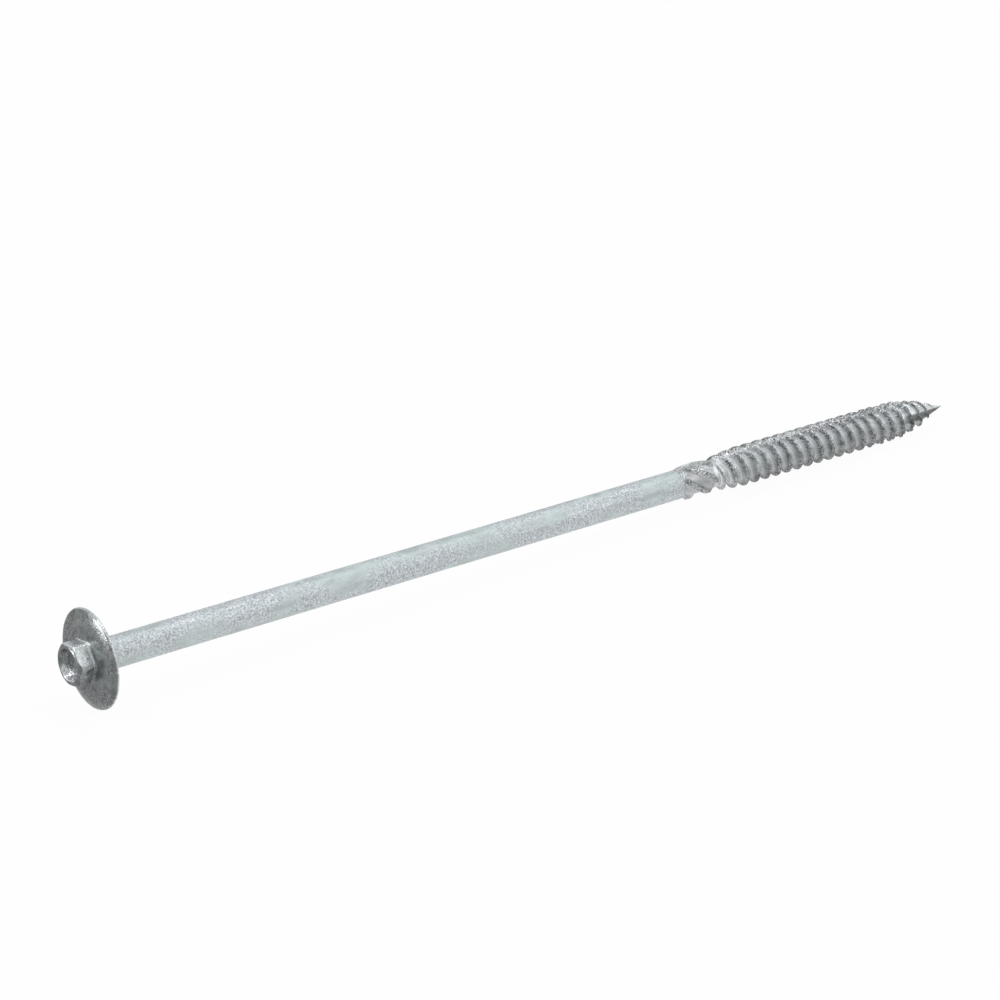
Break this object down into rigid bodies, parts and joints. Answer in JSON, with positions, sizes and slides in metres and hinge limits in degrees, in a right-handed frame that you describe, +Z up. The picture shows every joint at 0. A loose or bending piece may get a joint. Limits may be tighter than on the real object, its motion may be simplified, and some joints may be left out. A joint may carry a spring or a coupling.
{
  "type": "timber screw",
  "caption": "Long galvanised timber screw with a flanged hex head, a plain shank, a ribbed reamer and a coarse two-start thread that runs out to a cut point.",
  "frame": {"origin": "centre of the bearing face under the flange", "axes": "+X from the head towards the point, which lies 1.5 degrees lower than the head as the screw rests; +Z up"},
  "size_m": [0.26, 0.0228, 0.0228],
  "materials": {
    "zinc_coat": "hot-dip galvanised steel, dull grey with bright patches"
  },
  "bodies": {
    "root": {"timber_screw": "zinc_coat"}
  },
  "joints": []
}
